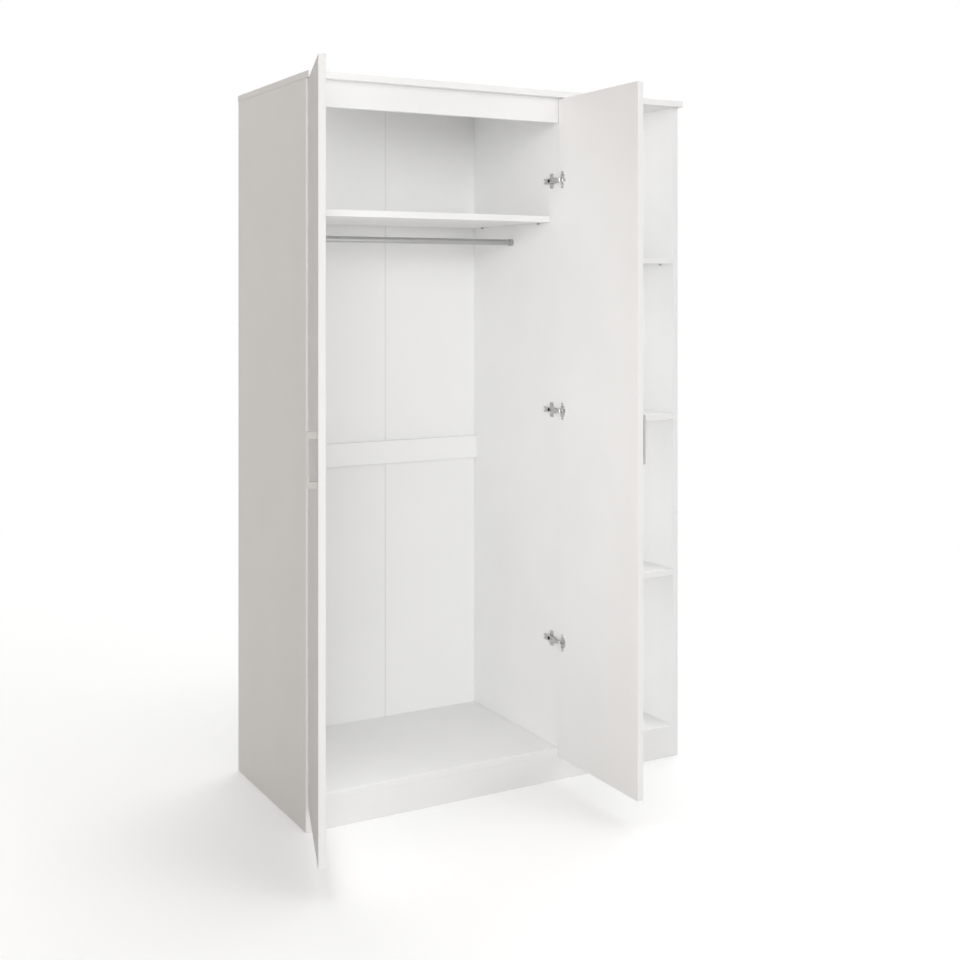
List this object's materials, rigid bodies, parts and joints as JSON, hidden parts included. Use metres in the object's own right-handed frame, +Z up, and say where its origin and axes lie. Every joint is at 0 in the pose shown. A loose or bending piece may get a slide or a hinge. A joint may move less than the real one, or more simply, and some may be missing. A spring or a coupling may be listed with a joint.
{
  "type": "wardrobe",
  "caption": "Straight white wardrobe with hinged doors over a hanging space and hat shelf, and an open column of shelves at its right-hand end.",
  "frame": {"origin": "on the floor, at the middle of the carcass's width, in the plane of the carcass's front edges", "axes": "+X to the right seen from the front, +Y to the back, +Z up"},
  "size_m": [1.359, 0.9316, 2],
  "materials": {
    "melamine": "white melamine-faced board, satin, fine pore texture",
    "hardboard": "white-lacquered hardboard, semi-matt",
    "strip_plastic": "white extruded plastic",
    "rail_chrome": "bright chrome",
    "hinge_metal": "nickel-plated pressed steel",
    "pin_metal": "nickel-plated steel",
    "handle_metal": "brushed, satin"
  },
  "bodies": {
    "carcass": {"back_joint_strip": "strip_plastic", "back_panel_left": "hardboard", "back_panel_right": "hardboard", "back_rail": "melamine", "bay_lower_shelf": "melamine", "bay_middle_shelf": "melamine", "bay_upper_shelf": "melamine", "bottom_panel": "melamine", "front_plinth": "melamine", "hanging_rail": "rail_chrome", "hat_shelf": "melamine", "left_lower_hinge_arm": "hinge_metal", "left_lower_hinge_plate": "hinge_metal", "left_middle_hinge_arm": "hinge_metal", "left_middle_hinge_plate": "hinge_metal", "left_side_panel": "melamine", "left_upper_hinge_arm": "hinge_metal", "left_upper_hinge_plate": "hinge_metal", "partition_panel": "melamine", "plinth_brace": "melamine", "rail_sockets": "rail_chrome", "rear_plinth": "melamine", "right_lower_hinge_arm": "hinge_metal", "right_lower_hinge_plate": "hinge_metal", "right_middle_hinge_arm": "hinge_metal", "right_middle_hinge_plate": "hinge_metal", "right_side_panel": "melamine", "right_upper_hinge_arm": "hinge_metal", "right_upper_hinge_plate": "hinge_metal", "shelf_pins": "pin_metal", "top_fascia": "melamine", "top_panel": "melamine"},
    "left_door": {"left_door_handle": "handle_metal", "left_door_panel": "melamine", "left_hinge_cups": "hinge_metal", "left_hinge_pins": "hinge_metal"},
    "right_door": {"right_door_handle": "handle_metal", "right_door_panel": "melamine", "right_hinge_cups": "hinge_metal", "right_hinge_pins": "hinge_metal"}
  },
  "joints": [
    {"name": "left_door_swing", "type": "hinge", "parent": "carcass", "child": "left_door", "pos_m": [-0.5975, -0.0125, 1.074], "axis": [0, 0, 1], "range_deg": [-1.3, 108.7]},
    {"name": "right_door_swing", "type": "hinge", "parent": "carcass", "child": "right_door", "pos_m": [0.1835, -0.0125, 1.074], "axis": [0, 0, 1], "range_deg": [-89, 21]}
  ]
}
